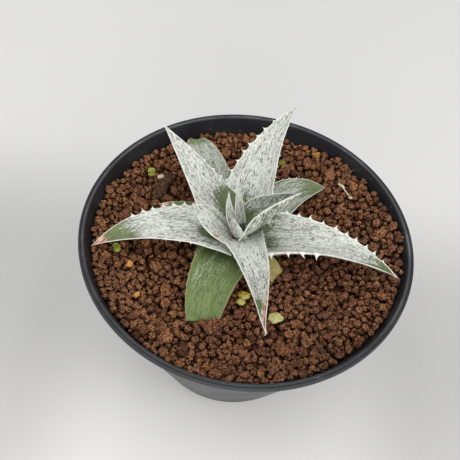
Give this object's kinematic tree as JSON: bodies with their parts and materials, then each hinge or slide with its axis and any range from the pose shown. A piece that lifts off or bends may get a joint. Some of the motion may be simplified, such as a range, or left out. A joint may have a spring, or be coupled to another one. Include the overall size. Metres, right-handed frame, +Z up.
{
  "type": "potted dyckia",
  "caption": "Spiny rosette of silver-scaled succulent leaves in a shallow round black plastic pot filled with coarse red-brown granular soil.",
  "frame": {"origin": "middle of the pot's foot, on the surface the pot stands on", "axes": "+Z up along the pot's axis, +X to the right, -Y to the front, where an old green leaf leans out over the soil"},
  "size_m": [0.12, 0.12, 0.0973],
  "materials": {
    "black_plastic": "satin moulded black plastic, lightly scuffed and dusty",
    "granular_soil": "porous red-brown fired clay granules, matt",
    "stem": "fibrous, matt",
    "leaf_silver": "tough leaf coated in silver-white scales, matt",
    "leaf_grey_green": "tough leaf, thin grey scales over green, matt",
    "leaf_green": "tough green leaf with few scales, satin",
    "leaf_yellow": "old yellowing leaf, matt",
    "yellow_grit": "waxy yellow bit, rough",
    "green_grit": "waxy green bit, rough",
    "orange_grit": "orange clay granule, rough",
    "white_grit": "white mineral chip, rough",
    "bark": "dark bark, rough"
  },
  "bodies": {
    "root": {"pot": "black_plastic", "soil": "granular_soil", "stem": "stem", "leaf_low_back": "leaf_grey_green", "leaf_low_right": "leaf_grey_green", "leaf_low_left": "leaf_green", "leaf_low_front_left": "leaf_green", "leaf_low_front_right": "leaf_yellow", "leaf_upper_back_left": "leaf_silver", "leaf_upper_back_right": "leaf_silver", "leaf_upper_right": "leaf_silver", "leaf_upper_left": "leaf_silver", "leaf_upper_front": "leaf_silver", "leaf_inner_left": "leaf_silver", "leaf_inner_right": "leaf_silver", "leaf_heart_back": "leaf_silver", "leaf_heart_back_left": "leaf_silver", "leaf_heart_front": "leaf_silver", "leaf_heart_left": "leaf_silver", "grit_yellow_front": "yellow_grit", "grit_pale_front": "yellow_grit", "grit_yellow_back": "yellow_grit", "grit_green_left": "green_grit", "grit_orange_left": "orange_grit", "pebble_white_left": "white_grit", "chip_white_right": "white_grit", "bark_chunk": "bark"}
  },
  "joints": []
}
